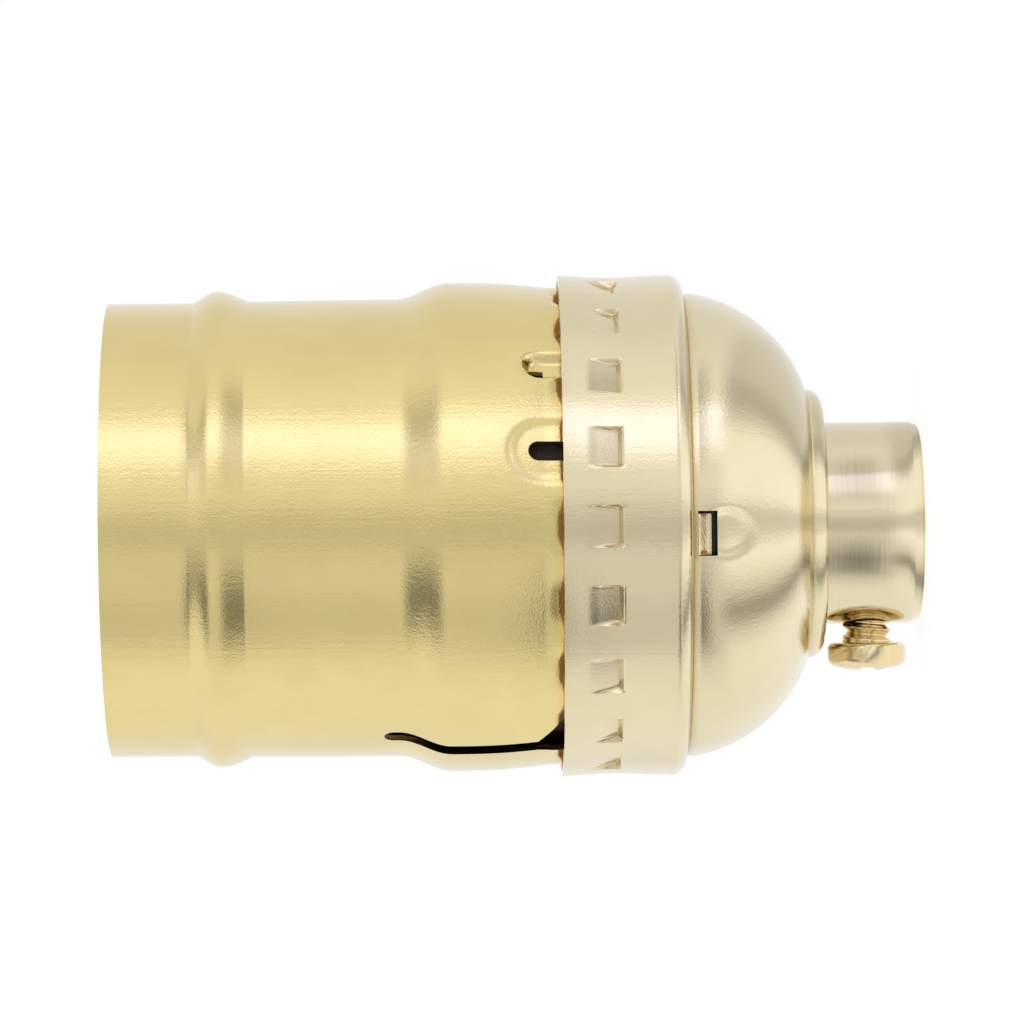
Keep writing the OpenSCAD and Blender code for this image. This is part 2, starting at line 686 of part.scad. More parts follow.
// Rivet standing on the axis, with its lower head's top at z0 and its upper head's seat at z1
module rivet(z0, z1) {
    ball = 0.97 * (pow(rivet_head_r, 2) + pow(rivet_head_h, 2)) / (2 * rivet_head_h);
    translate([0, 0, z0 - rivet_head_h]) cylinder(r = rivet_head_r, h = rivet_head_h);
    translate([0, 0, z0 - cut]) cylinder(r = rivet_r, h = z1 - z0 + 2 * cut);
    intersection() {
        translate([0, 0, z1]) cylinder(r = rivet_head_r, h = rivet_head_h);
        translate([0, 0, z1 + rivet_head_h - ball]) sphere(r = ball);
    }
}

module centre_rivet() {
    color([0.8, 0.65, 0.35]) translate([-centre_rivet_x, 0, 0])
        rivet(well_top - seat_clear, hinge_z + leaf + foot_clear);
}

module shell_rivet(side) {
    color([0.8, 0.65, 0.35]) translate([0, side * rivet_y, 0])
        rivet(pocket_top - rivet_sink - seat_clear, base_top + screw_sheet + seat_clear);
}

module front_rivet() {
    shell_rivet(-1);
}

module rear_rivet() {
    shell_rivet(1);
}

// Upright leg of a terminal strap, on the flat of the pocket at +X
module strap_leg(top) {
    foot = bind_screw_z - leg_drop;
    difference() {
        translate([pocket_x + seat_clear, -strap_w / 2, foot]) cube([strap, strap_w, top - foot]);
        translate([pocket_x - over, 0, bind_screw_z]) rotate([0, 90, 0])
            cylinder(r = bind_r + screw_clear, h = strap + 3 * over);
    }
}

module hot_terminal() {
    color([0.85, 0.66, 0.32]) difference() {
        union() {
            strap_leg(pocket_top);
            translate([-hot_reach, -strap_w / 2, well_top])
                cube([hot_reach + pocket_x + seat_clear + cut, strap_w, strap - seat_clear]);
        }
        translate([-centre_rivet_x, 0, well_top - over])
            cylinder(r = rivet_r + screw_clear, h = strap + 2 * over);
    }
}

module neutral_terminal() {
    color([0.78, 0.77, 0.74]) {
        rotate(180) strap_leg(base_top - strap + cut);
        difference() {
            translate([0, 0, base_top - strap - cut]) linear_extrude(strap) half_ring(0);
            for (s = [-1, 1]) translate([0, s * rivet_y, base_top - strap - over])
                cylinder(r = rivet_r + screw_clear, h = strap + 2 * over);
        }
    }
}

// Binding screw in the pocket at +X
module binding_screw() {
    tip = pocket_x + strap - bind_len;
    seat = pocket_x + strap + 2 * seat_clear;
    translate([0, 0, bind_screw_z]) rotate([0, 90, 0]) {
        translate([0, 0, tip]) cylinder(r = bind_r, h = seat - tip + cut);
        translate([0, 0, seat]) round_head(bind_head_r, bind_head_h, bind_slot_w);
    }
}

module hot_screw() {
    color([0.85, 0.66, 0.32]) binding_screw();
}

module neutral_screw() {
    color([0.8, 0.8, 0.78]) rotate(180) binding_screw();
}

cap();
cap_hub();
set_screw();
shell();
insulating_sleeve();
interior_base();
bottom_insulator();
screw_shell();
centre_contact();
centre_rivet();
hot_terminal();
hot_screw();
neutral_terminal();
neutral_screw();
front_rivet();
rear_rivet();
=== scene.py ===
"""Keyless brass lamp socket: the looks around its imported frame.

The socket stands on its hub with the mouth up (+Z). The camera looks along +Y and is turned on
its side, so that the picture shows the mouth at the left and the hub at the right.
"""
import math

import bpy
from mathutils import Matrix, Vector


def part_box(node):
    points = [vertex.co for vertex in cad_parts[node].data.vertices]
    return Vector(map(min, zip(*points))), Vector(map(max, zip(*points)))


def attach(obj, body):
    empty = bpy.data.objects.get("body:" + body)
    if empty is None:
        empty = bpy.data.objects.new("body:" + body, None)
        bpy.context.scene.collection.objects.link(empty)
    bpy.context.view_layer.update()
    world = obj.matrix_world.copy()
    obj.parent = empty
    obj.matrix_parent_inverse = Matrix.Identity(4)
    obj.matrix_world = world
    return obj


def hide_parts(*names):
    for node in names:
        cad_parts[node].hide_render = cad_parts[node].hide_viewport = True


MM = 0.001
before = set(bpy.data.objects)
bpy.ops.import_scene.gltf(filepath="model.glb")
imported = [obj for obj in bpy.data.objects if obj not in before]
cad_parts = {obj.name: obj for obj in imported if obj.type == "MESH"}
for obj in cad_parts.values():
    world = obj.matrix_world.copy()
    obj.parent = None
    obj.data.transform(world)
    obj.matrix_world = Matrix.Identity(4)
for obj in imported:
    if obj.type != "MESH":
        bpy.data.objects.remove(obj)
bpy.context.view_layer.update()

# Places read from the frame
CAP_LOW, CAP_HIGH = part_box("cap")
SHELL_LOW, SHELL_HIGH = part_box("shell")
WELL_LOW, WELL_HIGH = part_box("screw_shell")
HUB_LOW, HUB_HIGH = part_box("cap_hub")
SCREW_LOW, SCREW_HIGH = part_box("set_screw")

# Sizes of the sheet-metal parts, with angles in degrees
SHEET = 0.4 * MM
PITCH = 18
CAP_R = CAP_HIGH[0]
CAP_RIM_Z = CAP_HIGH[2]
NECK_Z = CAP_LOW[2]
BAND_Z = CAP_RIM_Z - 8.8 * MM
BAND_CORNER = 1.2 * MM
CAP_WAIST = 0.2 * MM
COLLAR_R = 9.6 * MM
COLLAR_EDGE = 1.1 * MM
DOME_ARC = 10.3 * MM
DOME_R = 16.64 * MM
DOME_CENTRE = (DOME_R - DOME_ARC, BAND_Z - 9.3 * MM + DOME_ARC)
LANCE_TOP = CAP_RIM_Z - 1.9 * MM
LANCE_LOW = LANCE_TOP - 2.2 * MM
LANCE_DEPTH = 0.45 * MM
LANCE_WALL = 0.35 * MM
LANCE_HALF = 4.7
LANCE_LIP = 0.3 * MM
FLARE = 1.1 * MM
TAB_ANGLES = (268, 88)
TAB_TOP = BAND_Z - 0.4 * MM
TAB_LOW = TAB_TOP - 1.35 * MM
TAB_W = 3.1 * MM
TAB_SHEET = 0.3 * MM
DIMPLE_R = 2.1 * MM
DIMPLE_DEPTH = 0.22 * MM
RIM_Z = SHELL_LOW[2]
MOUTH_Z = SHELL_HIGH[2]
BULGE_R = 17.41 * MM
SKIRT_R = 17.05 * MM
SKIRT_H = 9.4 * MM
BULGE_Z = RIM_Z + 15 * MM
NECK_R = 16.29 * MM
SHOULDER = 3.8 * MM
MOUTH_R = 16.16 * MM
BEAD_Z = MOUTH_Z - 6.05 * MM
BEAD_LEN = 4 * MM
BEAD_H = 0.8 * MM
FLUTE_TOP = CAP_RIM_Z + 1.3 * MM
FLUTE_DEPTH = 0.65 * MM
FLUTE_HALF = 2.15 * MM
SLOT_W = 1.4 * MM
SLOT_TOP = CAP_RIM_Z + 2.4 * MM
SLIT_TOP = CAP_RIM_Z + 12.6 * MM
DENT_R = 2.6 * MM
FINGER_R = 1.3 * MM
FINGER_W = 0.85 * MM
DENT_ANGLE = 288
FINGER_ANGLE = 311
SLIT_ANGLE = 206
SHELL_COLUMNS = 360
CAP_COLUMNS = 540
# How far the cutters of thin walls reach
REACH = 4 * MM

# Sizes of the turned and threaded parts
HUB_R = HUB_HIGH[0]
HUB_TOP = HUB_HIGH[2]
HUB_LEN = 6.9 * MM
BORE_R = 4.55 * MM
PIPE_PITCH = 0.94 * MM
PIPE_DEPTH = 0.45 * MM
SCREW_Z = (SCREW_LOW[2] + SCREW_HIGH[2]) / 2
SCREW_R = 1.75 * MM
SCREW_PITCH = 0.79 * MM
SCREW_DEPTH = 0.36 * MM
HEAD_R = 2.8 * MM
HEAD_H = 2 * MM
WELL_R = WELL_HIGH[0]
WELL_PITCH = 3.629 * MM
WELL_DEPTH = 0.85 * MM


def deselect():
    if bpy.context.object and bpy.context.object.mode != "OBJECT":
        bpy.ops.object.mode_set(mode="OBJECT")
    bpy.ops.object.select_all(action="DESELECT")


def take(obj):
    """Makes obj the only selected and the active object."""
    deselect()
    obj.select_set(True)
    bpy.context.view_layer.objects.active = obj


def arc(centre, radius, start, end, steps):
    """Points of an arc, in degrees, as (radius, height)."""
    angles = [math.radians(start + (end - start) * i / steps) for i in range(steps + 1)]
    return [(centre[0] + radius * math.cos(a), centre[1] + radius * math.sin(a)) for a in angles]


def swung(low, high, steps, swing_at):
    """Points from low to high, each an (r, z); swing_at(t) is the radius's share of its way."""
    points = []
    for i in range(steps + 1):
        t = i / steps
        points.append((low[0] + (high[0] - low[0]) * swing_at(t), low[1] + (high[1] - low[1]) * t))
    return points


def half_wave(t):
    """Smooth S from 0 to 1."""
    return (1 - math.cos(math.pi * t)) / 2


def bead_rise(t):
    """Way up a bead's flank, which leaves its foot at a crease."""
    return 0.7 * math.sin(math.pi / 2 * t) + 0.3 * half_wave(t)


def bead_fall(t):
    """Way down a bead's flank, which meets its foot at a crease."""
    return 0.7 * (1 - math.sin(math.pi / 2 * (1 - t))) + 0.3 * half_wave(t)


def straight(low, high, steps):
    """Points of a straight line from low to high, without the last."""
    return [(low[0] + (high[0] - low[0]) * i / steps, low[1] + (high[1] - low[1]) * i / steps)
            for i in range(steps)]


def lathe(name, outline, sides, close=False):
    """Turns an outline of (r, z) points into a body of revolution, ring by ring.

    With close, the last ring is joined to the first.
    """
    deselect()
    radius, height = outline[0]
    bpy.ops.mesh.primitive_circle_add(vertices=sides, radius=radius, location=(0, 0, height))
    piece = bpy.context.object
    piece.name = piece.data.name = name
    bpy.ops.object.transform_apply(location=True, rotation=True, scale=True)
    bpy.ops.object.mode_set(mode="EDIT")
    bpy.ops.mesh.select_all(action="SELECT")
    for (r0, z0), (r1, z1) in zip(outline, outline[1:]):
        bpy.ops.mesh.extrude_region_move(TRANSFORM_OT_translate={"value": (0, 0, z1 - z0)})
        if abs(r1 - r0) > 1e-9:
            bpy.ops.transform.resize(value=(r1 / r0, r1 / r0, 1), center_override=(0, 0, 0))
    if close:
        bpy.ops.mesh.select_all(action="SELECT")
        bpy.ops.mesh.region_to_loop()
        bpy.ops.mesh.bridge_edge_loops()
    bpy.ops.mesh.select_all(action="SELECT")
    bpy.ops.mesh.normals_make_consistent(inside=False)
    bpy.ops.object.mode_set(mode="OBJECT")
    return piece


def outwards(piece):
    """Turns a single skin round the axis so that its faces point away from the axis."""
    face = max(piece.data.polygons, key=lambda f: math.hypot(f.center.x, f.center.y))
    if face.normal.x * face.center.x + face.normal.y * face.center.y < 0:
        take(piece)
        bpy.ops.object.mode_set(mode="EDIT")
        bpy.ops.mesh.select_all(action="SELECT")
        bpy.ops.mesh.flip_normals()
        bpy.ops.object.mode_set(mode="OBJECT")


def apply_modifier(piece, kind, **settings):
    take(piece)
    modifier = piece.modifiers.new(kind.title(), kind)
    for key, value in settings.items():
        setattr(modifier, key, value)
    bpy.ops.object.modifier_apply(modifier=modifier.name)


def press(piece, depth_at):
    """Presses dents into a skin along its normals; depth_at(angle, r, z) gives each depth."""
    depths = []
    for vertex in piece.data.vertices:
        x, y, z = vertex.co
        depths.append(depth_at(math.degrees(math.atan2(y, x)) % 360, math.hypot(x, y), z))
    deepest = max(depths)
    group = piece.vertex_groups.new(name="pressed")
    for index, depth in enumerate(depths):
        if depth > 0:
            group.add([index], depth / deepest, "REPLACE")
    apply_modifier(piece, "DISPLACE", strength=-deepest, mid_level=0, direction="NORMAL",
                   vertex_group="pressed")
    piece.vertex_groups.clear()


def crowd(piece, turn_at):
    """Turns each column of a skin by turn_at(angle), in degrees, to crowd them where it counts."""
    for vertex in piece.data.vertices:
        angle = math.degrees(math.atan2(vertex.co.y, vertex.co.x))
        vertex.co = Matrix.Rotation(math.radians(turn_at(angle)), 3, "Z") @ vertex.co


def cutter(size, place, turn):
    """A block, size across, placed at place and then turned round the axis."""
    deselect()
    bpy.ops.mesh.primitive_cube_add(size=1, location=place)
    block = bpy.context.object
    block.scale = size
    bpy.ops.object.transform_apply(location=True, rotation=True, scale=True)
    block.data.transform(Matrix.Rotation(math.radians(turn), 4, "Z"))
    return block


def bar(radius, length, place, turn):
    """A round bar along the outward direction, placed and then turned round the axis."""
    deselect()
    bpy.ops.mesh.primitive_cylinder_add(vertices=48, radius=radius, depth=length,
                                        location=place, rotation=(0, math.pi / 2, 0))
    rod = bpy.context.object
    bpy.ops.object.transform_apply(location=True, rotation=True, scale=True)
    rod.data.transform(Matrix.Rotation(math.radians(turn), 4, "Z"))
    return rod


def cut_away(piece, tools):
    for tool in tools:
        apply_modifier(piece, "BOOLEAN", operation="DIFFERENCE", solver="EXACT", object=tool)
        bpy.data.objects.remove(tool)


def join(piece, others):
    take(piece)
    for other in others:
        other.select_set(True)
    bpy.ops.object.join()
    return piece


def close_ends(piece):
    """Fills a body's open ends, where there are any, and points its faces outwards."""
    take(piece)
    bpy.ops.object.mode_set(mode="EDIT")
    bpy.ops.mesh.select_all(action="SELECT")
    bpy.ops.mesh.fill_holes(sides=0)
    bpy.ops.mesh.normals_make_consistent(inside=False)
    bpy.ops.object.mode_set(mode="OBJECT")


def step(t):
    """Smooth rise from 0 to 1."""
    t = min(1, max(0, t))
    return t * t * (3 - 2 * t)


def smooth(piece, angle=35):
    take(piece)
    bpy.ops.object.shade_smooth_by_angle(angle=math.radians(angle))


def fence(low, high, steps):
    """Heights from low up to high, without the last."""
    return [low + (high - low) * i / steps for i in range(steps)]


def between(angle, centre):
    """Signed angle from centre, in degrees."""
    return (angle - centre + 180) % 360 - 180


# Shell

def shell_outline():
    shoulder = BULGE_Z + 1 * MM
    peak = BEAD_Z - 0.43 * BEAD_LEN
    foot = BEAD_Z - BEAD_LEN
    foot_r = MOUTH_R + 0.07 * MM
    bulge = []
    steps = 22
    for i in range(1, steps + 1):
        t = i / steps
        bulge.append((BULGE_R - (BULGE_R - SKIRT_R) * (1 - t) ** 2,
                      RIM_Z + SKIRT_H + (BULGE_Z - RIM_Z - SKIRT_H) * t))
    show = CAP_RIM_Z - 1.5 * MM
    return (straight((SKIRT_R, RIM_Z), (SKIRT_R, show), 8)
            + straight((SKIRT_R, show), (SKIRT_R, RIM_Z + SKIRT_H), 26)
            + [(SKIRT_R, RIM_Z + SKIRT_H)] + bulge
            + swung((BULGE_R, shoulder), (NECK_R, shoulder + SHOULDER), 14, half_wave)
            + straight((NECK_R, shoulder + SHOULDER + 1 * MM), (NECK_R, foot - 4.7 * MM), 3)
            + [(NECK_R, foot - 4.7 * MM)]
            + swung((foot_r, foot), (MOUTH_R + BEAD_H, peak), 15, bead_rise)
            + swung((MOUTH_R + BEAD_H, peak), (MOUTH_R, BEAD_Z), 13, bead_fall)[1:]
            + straight((MOUTH_R, BEAD_Z + 1 * MM), (MOUTH_R, MOUTH_Z), 3)
            + [(MOUTH_R, MOUTH_Z)])


def from_slot(angle, z, centre, top):
    """Distance from the middle line of an upright slot that ends at top."""
    across = SKIRT_R * math.radians(between(angle, centre))
    return math.hypot(across, max(0, z - top))


def shell_depth(angle, r, z):
    """Flutes at the cap's lances, with a shallow dent and a deep finger among them."""
    if z > BULGE_Z:
        return 0
    nearest = PITCH * round(angle / PITCH) % 360
    depths = [0]
    if nearest != DENT_ANGLE:
        across = abs(SKIRT_R * math.radians(between(angle, nearest)))
        run = step((FLUTE_TOP - z) / (2.9 * MM))
        depths.append(FLUTE_DEPTH * run * step((FLUTE_HALF - across) / (1.7 * MM)))
    dent = from_slot(angle, z, DENT_ANGLE, SLOT_TOP - 0.95 * MM)
    shallow = 0.22 + 0.28 * step((CAP_RIM_Z + 0.6 * MM - z) / (2 * MM))
    depths.append(shallow * MM * step((DENT_R - dent) / (0.9 * MM)))
    finger = from_slot(angle, z, FINGER_ANGLE, SLOT_TOP - 0.85 * MM)
    depths.append(FLUTE_DEPTH * step((FINGER_R - finger) / (0.75 * MM)))
    return max(depths)


def slot_tools(width, low, top, turn):
    """Cutters of one upright slot with a round top."""
    crown = top - width / 2
    return [cutter((REACH, width, crown - low), (SKIRT_R, 0, (crown + low) / 2), turn),
            bar(width / 2, REACH, (SKIRT_R, 0, crown), turn)]


def notch_tools():
    """Cutters of the notch in which the long slit ends."""
    low, high, top = RIM_Z - 1 * MM, CAP_RIM_Z - 0.8 * MM, CAP_RIM_Z + 1.8 * MM
    middle, width = 1.45 * MM, 6.1 * MM
    square = cutter((REACH, width, high - low), (SKIRT_R, middle, (high + low) / 2), SLIT_ANGLE)
    taper = cutter((REACH, width, top - high), (SKIRT_R, middle, (top + high) / 2), 0)
    for vertex in taper.data.vertices:
        if vertex.co.z > (top + high) / 2:
            vertex.co.y = 0.7 * MM if vertex.co.y > middle else -0.7 * MM
    taper.data.transform(Matrix.Rotation(math.radians(SLIT_ANGLE), 4, "Z"))
    return [square, taper]


def to_slots(angle):
    """Turn that crowds the shell's columns on the side of its slots."""
    return -23 * math.sin(math.radians(angle - 300))


def build_shell():
    piece = lathe("brass_shell", shell_outline(), SHELL_COLUMNS)
    outwards(piece)
    crowd(piece, to_slots)
    press(piece, shell_depth)
    apply_modifier(piece, "SOLIDIFY", thickness=SHEET, offset=-1, use_even_offset=True)
    hidden = RIM_Z - 1 * MM
    cut_away(piece, slot_tools(SLOT_W, hidden, SLOT_TOP, DENT_ANGLE)
             + slot_tools(FINGER_W, FLUTE_TOP, SLOT_TOP, FINGER_ANGLE - 1.8)
             + slot_tools(SLOT_W, hidden, SLIT_TOP, SLIT_ANGLE)
             + notch_tools())
    smooth(piece)
    return piece


# Cap

def cap_outline():
    start = (HUB_LOW[0] * -1 - 1 * MM, NECK_Z)
    collar = arc((COLLAR_R - COLLAR_EDGE, NECK_Z + COLLAR_EDGE), COLLAR_EDGE, -90, 0, 8)
    low = -math.degrees(math.acos((COLLAR_R + 0.2 * MM - DOME_CENTRE[0]) / DOME_ARC))
    tab_low = -math.degrees(math.asin((DOME_CENTRE[1] - TAB_LOW) / DOME_ARC))
    tab_top = -math.degrees(math.asin((DOME_CENTRE[1] - TAB_TOP) / DOME_ARC))
    dome = (arc(DOME_CENTRE, DOME_ARC, low, tab_low, 26)
            + arc(DOME_CENTRE, DOME_ARC, tab_low, tab_top, 4)[1:]
            + [(DOME_R - 0.2 * MM, BAND_Z - 0.05 * MM), (DOME_R - 0.12 * MM, BAND_Z + 0.06 * MM)])
    corner = arc((CAP_R - BAND_CORNER, BAND_Z + BAND_CORNER), BAND_CORNER, -90, -12, 8)
    band_start = BAND_Z + BAND_CORNER
    heights = (fence(band_start, LANCE_LOW - LANCE_LIP, 4)
               + fence(LANCE_LOW - LANCE_LIP, LANCE_LOW + LANCE_WALL, 8)
               + fence(LANCE_LOW + LANCE_WALL, LANCE_TOP, 4)
               + fence(LANCE_TOP, CAP_RIM_Z - FLARE, 2)
               + fence(CAP_RIM_Z - FLARE, CAP_RIM_Z, 6) + [CAP_RIM_Z])
    band = []
    for z in heights:
        t = (z - band_start) / (CAP_RIM_Z - band_start)
        flare = max(0, (z - CAP_RIM_Z + FLARE) / FLARE) ** 2
        band.append((CAP_R - CAP_WAIST * (0.3 + 0.7 * math.sin(math.pi * t) ** 2) * (1 - flare), z))
    return [start] + collar + dome + corner + band


def cap_depth(angle, r, z):
    """Lances that slope in towards the dome, and the dimple below each tab."""
    deepest = 0
    off = abs(between(angle, PITCH * round(angle / PITCH)))
    if LANCE_LOW - LANCE_LIP < z < LANCE_TOP:
        floor = LANCE_DEPTH * (LANCE_TOP - z) / (LANCE_TOP - LANCE_LOW - LANCE_WALL)
        edge = max(0, (z - LANCE_LOW + LANCE_LIP) / LANCE_LIP)
        wall = LANCE_DEPTH * (0.1 * min(1, edge) ** 2 + 0.9 * max(0, z - LANCE_LOW) / LANCE_WALL)
        side = min(1, max(0, (LANCE_HALF - off) / 0.45))
        deepest = min(floor, wall, LANCE_DEPTH) * side
    for centre in TAB_ANGLES:
        across = DOME_R * math.radians(between(angle, centre))
        reach = math.hypot(across, z - TAB_LOW + 0.75 * MM)
        if reach < DIMPLE_R and z < BAND_Z:
            deepest = DIMPLE_DEPTH * step((DIMPLE_R - reach) / (0.9 * MM))
    return deepest


def build_tab(angle):
    """Tab folded in from the step's side of its window, curling back at its free end."""
    out = DOME_CENTRE[0] + DOME_ARC * math.cos(math.asin((DOME_CENTRE[1] - TAB_TOP) / DOME_ARC))
    deselect()
    bpy.ops.mesh.primitive_grid_add(x_subdivisions=6, y_subdivisions=8, size=1)
    tab = bpy.context.object
    tab.name = "tab"
    width, aside = TAB_W - 0.2 * MM, 0.08 * MM
    root, height = out - 0.15 * MM, TAB_TOP + 0.08 * MM
    fold, length = 0.8 * MM, 1.03 * MM
    for vertex in tab.data.vertices:
        t = 0.5 - vertex.co.y
        vertex.co = (root - fold * math.sin(math.pi / 2 * t), vertex.co.x * width - aside,
                     height - length * t)
    apply_modifier(tab, "SOLIDIFY", thickness=TAB_SHEET, offset=0)
    apply_modifier(tab, "BEVEL", width=0.06 * MM, segments=2, angle_limit=math.radians(50))
    tab.data.transform(Matrix.Rotation(math.radians(angle), 4, "Z"))
    close_ends(tab)
    return tab


def at_lances(angle):
    """Turn that crowds the cap's columns at the sides of its lances."""
    return math.sin(math.radians(40 * between(angle, PITCH * round(angle / PITCH))))


def build_cap():
    piece = lathe("brass_cap", cap_outline(), CAP_COLUMNS)
    outwards(piece)
    crowd(piece, at_lances)
    press(piece, cap_depth)
    apply_modifier(piece, "SOLIDIFY", thickness=SHEET, offset=-1, use_even_offset=True)
    middle = (TAB_LOW + TAB_TOP) / 2
    cut_away(piece, [cutter((5 * MM, TAB_W, TAB_TOP - TAB_LOW), (DOME_R, 0, middle), angle)
                     for angle in TAB_ANGLES])
    join(piece, [build_tab(angle) for angle in TAB_ANGLES])
    smooth(piece)
    return piece


# Hub

def hub_depth(angle, r, z):
    """Pipe thread in the bore, pressed outwards from its crests."""
    if r > BORE_R + 0.01 * MM or not 0.5 * MM < z < HUB_TOP - 0.2 * MM:
        return 0
    turn = (z / PIPE_PITCH - angle / 360) % 1
    return PIPE_DEPTH * (1 - abs(2 * turn - 1))


def build_hub():
    edge = [(HUB_R - a * MM, z * MM) for a, z in (
        (0.5, 0), (0.36, 0.03), (0.26, 0.08), (0.19, 0.16), (0.15, 0.25), (0.04, 0.6),
        (0.01, 0.66), (0, 0.74))]
    outer = straight((HUB_R, 1.2 * MM), (HUB_R, HUB_LEN), 4) + [(HUB_R, HUB_LEN - 0.05 * MM)]
    spigot = 6.15 * MM
    foot = HUB_LEN + 0.45 * MM
    clinch = [(spigot, HUB_LEN - 0.05 * MM), (spigot, foot), (spigot + 0.95 * MM, foot),
              (spigot + 0.95 * MM, foot + 0.3 * MM), (spigot - 0.15 * MM, HUB_TOP)]
    rows = 78
    bore = [(BORE_R, HUB_TOP - (HUB_TOP - PIPE_DEPTH) * i / rows) for i in range(rows + 1)]
    outline = [(BORE_R + PIPE_DEPTH, 0)] + edge + outer + clinch + bore
    piece = lathe("turned_hub", outline, 144, close=True)
    press(piece, hub_depth)
    cut_away(piece, [bar(SCREW_R + 0.05 * MM, REACH, (HUB_R - 1 * MM, 0, SCREW_Z), 180)])
    smooth(piece, 30)
    return piece


# Set screw

def screw_depth(angle, r, z):
    """Thread with narrow crests, fading out below the head."""
    turn = 2 * math.pi * (z / SCREW_PITCH + angle / 360)
    return SCREW_DEPTH * (0.5 + 0.5 * math.cos(turn)) ** 0.8 * step((-z - 0.1 * MM) / (0.3 * MM))


def build_set_screw():
    """Built upright on z = 0 at the head's seat, then laid along -X."""
    seat = -SCREW_LOW[0] - HEAD_H
    shank_len = seat - 5.2 * MM
    rows = 66
    shank = lathe("set_screw_brass",
                  [(SCREW_R, -shank_len * (1 - i / rows)) for i in range(rows + 1)], 72)
    outwards(shank)
    press(shank, screw_depth)
    close_ends(shank)
    seat_round, top_round = 0.45 * MM, 0.7 * MM
    crown = HEAD_H - 0.25 * MM
    head_outline = ([(1.2 * MM, 0)]
                    + arc((HEAD_R - seat_round, seat_round), seat_round, -90, 0, 6)
                    + arc((HEAD_R - top_round, crown - top_round), top_round, 0, 70, 8)
                    + [(1.5 * MM, HEAD_H - 0.08 * MM), (0.8 * MM, HEAD_H - 0.02 * MM),
                       (0.2 * MM, HEAD_H)])
    head = lathe("head", head_outline, 96)
    close_ends(head)
    mill_r, slot_w, slot_depth = 3.2 * MM, 1.5 * MM, 1 * MM
    mill = bar(mill_r, slot_w, (0, 0, HEAD_H + mill_r - slot_depth), -9)
    facet = cutter((4 * MM, 2 * MM, 3 * MM), (0, -HEAD_R - 0.87 * MM, 1 * MM), -6)
    cut_away(head, [mill, facet])
    apply_modifier(head, "BEVEL", width=0.08 * MM, segments=3, angle_limit=math.radians(40))
    piece = join(shank, [head])
    piece.data.transform(Matrix.Rotation(-math.pi / 2, 4, "Y"))
    piece.data.transform(Matrix.Translation((-seat, 0, SCREW_Z)))
    smooth(piece, 50)
    return piece


# Screw shell

def well_depth(angle, r, z):
    """Rolled thread: fades in above the floor and opens to its root at the mouth."""
    low = WELL_LOW[2] + 1.6 * MM
    high = WELL_HIGH[2] - 1.6 * MM
    if z < WELL_LOW[2] + 0.7 * MM:
        return 0
    wave = 0.5 - 0.5 * math.cos(2 * math.pi * (z / WELL_PITCH - angle / 360))
    start = step((z - low) / (0.5 * WELL_PITCH))
    end = step((z - high + 0.5 * WELL_PITCH) / (0.5 * WELL_PITCH))
    return WELL_DEPTH * (1 - (end + (1 - end) * start * wave))


def build_screw_shell():
    floor, top = WELL_LOW[2], WELL_HIGH[2]
    foot = WELL_R - WELL_DEPTH
    corner = arc((foot - 0.8 * MM, floor + 0.8 * MM), 0.8 * MM, -90, 0, 6)
    outline = ([(7.8 * MM, floor), (10 * MM, floor)] + corner
               + [(WELL_R, floor + 1 * MM + (top - floor - 1 * MM) * i / 96) for i in range(97)])
    piece = lathe("rolled_screw_shell", outline, 160)
    outwards(piece)
    press(piece, well_depth)
    apply_modifier(piece, "SOLIDIFY", thickness=SHEET, offset=-1, use_even_offset=True)
    smooth(piece, 40)
    return piece


# Materials

def new_group(name, inputs, outputs):
    """An empty node group with named sockets; returns its tree and its two end nodes."""
    tree = bpy.data.node_groups.new(name, "ShaderNodeTree")
    for label, kind, value in inputs:
        socket = tree.interface.new_socket(name=label, in_out="INPUT", socket_type=kind)
        if value is not None:
            socket.default_value = value
    for label, kind in outputs:
        tree.interface.new_socket(name=label, in_out="OUTPUT", socket_type=kind)
    return tree, tree.nodes.new("NodeGroupInput"), tree.nodes.new("NodeGroupOutput")


def new_node(tree, kind, settings=None, **inputs):
    """Adds a node and sets its inputs by name, with _ for a space."""
    node = tree.nodes.new("ShaderNode" + kind)
    for key, value in (settings or {}).items():
        setattr(node, key, value)
    for key, value in inputs.items():
        node.inputs[key.replace("_", " ")].default_value = value
    return node


